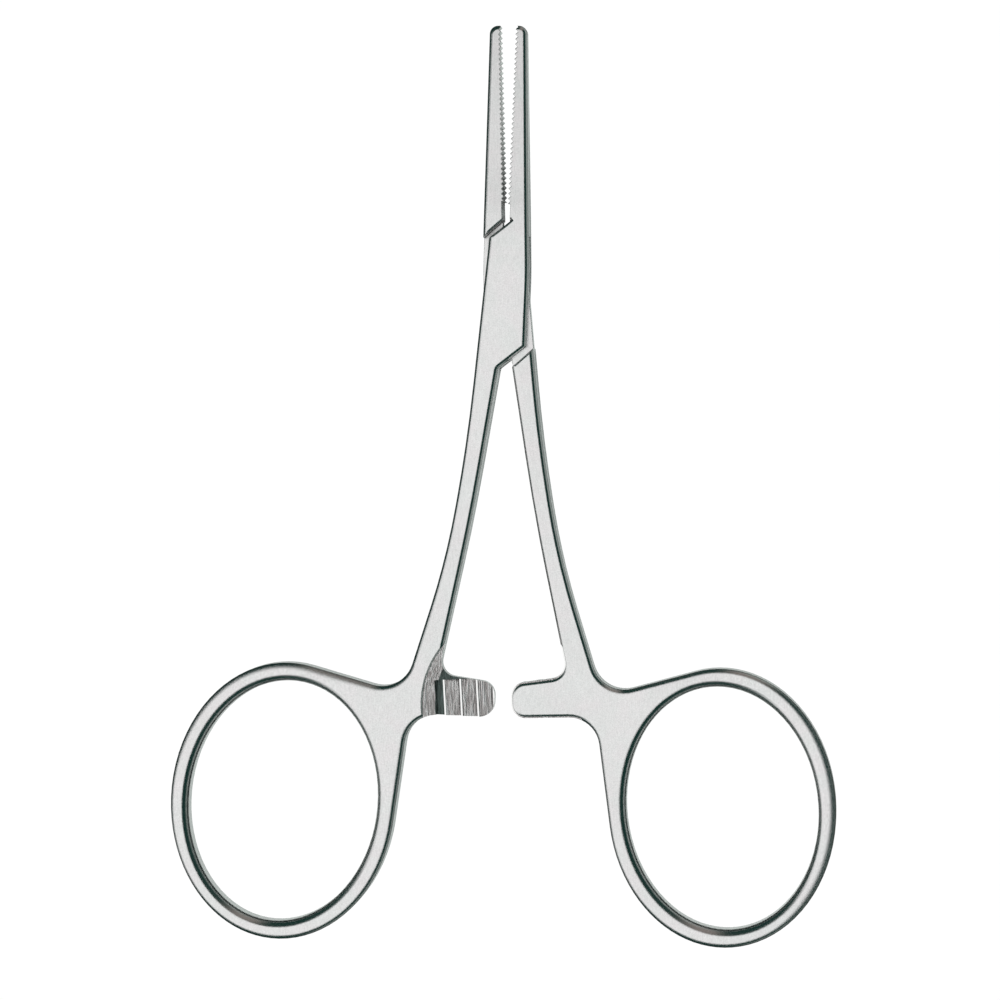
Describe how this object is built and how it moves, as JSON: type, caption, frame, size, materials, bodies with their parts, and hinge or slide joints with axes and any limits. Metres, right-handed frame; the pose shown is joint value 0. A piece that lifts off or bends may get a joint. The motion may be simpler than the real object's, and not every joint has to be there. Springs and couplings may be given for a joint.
{
  "type": "hemostat forceps",
  "caption": "Straight box-lock hemostat forceps in satin steel, with slim serrated jaws, a toothed ratchet between the shanks and oval finger loops; slightly open.",
  "frame": {"origin": "pivot axis where it meets the back of the lock, which lies on the surface", "axes": "+Y towards the jaw tips, +X to the right seen from the front, +Z out of the front face along the pivot"},
  "size_m": [0.0725, 0.0995, 0.0042],
  "materials": {
    "steel": "satin",
    "pin_steel": "satin, peened flush"
  },
  "bodies": {
    "box_arm": {"box_arm": "steel", "pivot_pin": "pin_steel"},
    "tongue_arm": {"tongue_arm": "steel"}
  },
  "joints": [
    {"name": "box_lock_hinge", "type": "hinge", "parent": "box_arm", "child": "tongue_arm", "pos_m": [0, 0, 0.0021], "axis": [0, 0, 1], "range_deg": [-3.5, 56.5]}
  ]
}
